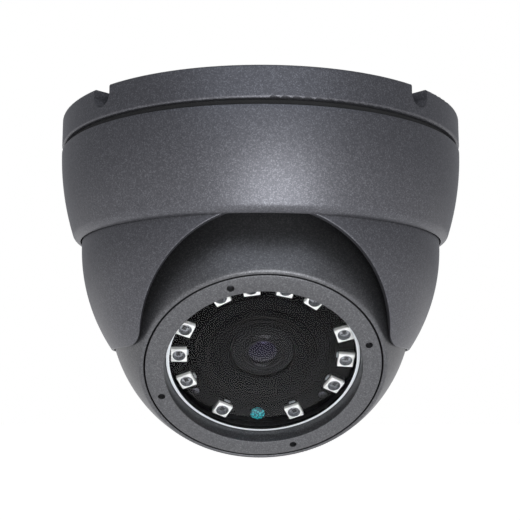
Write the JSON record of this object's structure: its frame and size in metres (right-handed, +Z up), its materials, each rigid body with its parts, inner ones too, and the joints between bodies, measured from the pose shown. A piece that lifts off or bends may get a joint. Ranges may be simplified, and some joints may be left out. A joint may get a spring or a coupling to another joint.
{
  "type": "ceiling turret camera",
  "caption": "Small ceiling camera: an eyeball with a ring of infrared lamps round its lens sits in a shell with an arch, which turns in a wide collar on a ceiling base.",
  "frame": {"origin": "centre of the base's ceiling face, on the pan axis", "axes": "+Z up into the ceiling along the pan axis, -Y the way the camera looks, +X across it along the tilt axis"},
  "size_m": [0.094, 0.094, 0.0781],
  "materials": {
    "dark_paint": "satin charcoal paint with fine metallic flake on die-cast aluminium",
    "ball_paint": "satin charcoal paint with fine metallic flake on die-cast aluminium",
    "nylon": "moulded nylon",
    "rubber": "moulded rubber",
    "screw_steel": "zinc plated steel",
    "black_plastic": "moulded black plastic",
    "mask_board": "circuit board with black solder mask",
    "green_board": "circuit board with green solder mask",
    "window": "polished flat glass",
    "lens_glass": "polished and coated lens glass",
    "filter_glass": "coated filter glass",
    "lamp": "white lamp body with silvered cup",
    "sensor_lens": "tinted clear plastic",
    "chip": "moulded epoxy",
    "gold_plate": "plated brass",
    "socket_plastic": "moulded nylon",
    "wire": "wire insulation"
  },
  "bodies": {
    "base": {"base_ring": "dark_paint", "ceiling_gasket": "rubber", "cable_grommet": "rubber", "seam_seal": "rubber", "upper_glide": "nylon", "lower_glide": "nylon", "collar": "dark_paint", "lock_screw": "screw_steel"},
    "turret": {"dome_shell": "dark_paint", "clamp_ring": "nylon", "spring_washers": "screw_steel", "clamp_screws": "screw_steel"},
    "tilt_carrier": {"glide_ring": "nylon"},
    "eyeball": {"front_housing": "ball_paint", "rear_housing": "ball_paint", "housing_seal": "rubber", "housing_screws": "screw_steel", "cable_gland": "rubber", "front_ring": "ball_paint", "window_gasket": "rubber", "window_glass": "window", "led_board": "mask_board", "ir_leds": "lamp", "light_sensor": "sensor_lens", "board_screws": "black_plastic", "lens_shroud": "black_plastic", "lens_barrel": "black_plastic", "front_element": "lens_glass", "rear_element": "lens_glass", "lens_lock_ring": "black_plastic", "lens_holder": "black_plastic", "holder_screws": "screw_steel", "ir_filter": "filter_glass", "image_sensor": "chip", "sensor_board": "green_board", "processor": "chip", "pillars": "gold_plate", "pillar_screws": "screw_steel", "board_sockets": "socket_plastic", "led_lead": "wire"}
  },
  "joints": [
    {"name": "pan", "type": "hinge", "parent": "base", "child": "turret", "pos_m": [0, 0, -0.0428], "axis": [0, 0, 1], "range_deg": [-175, 175]},
    {"name": "tilt", "type": "hinge", "parent": "turret", "child": "tilt_carrier", "pos_m": [0, 0, -0.0428], "axis": [1, 0, 0], "range_deg": [-18.3, 46.7]},
    {"name": "roll", "type": "hinge", "parent": "tilt_carrier", "child": "eyeball", "pos_m": [0, 0, -0.0428], "axis": [0, -0.7278, -0.6858], "range_deg": [-175, 175]}
  ]
}
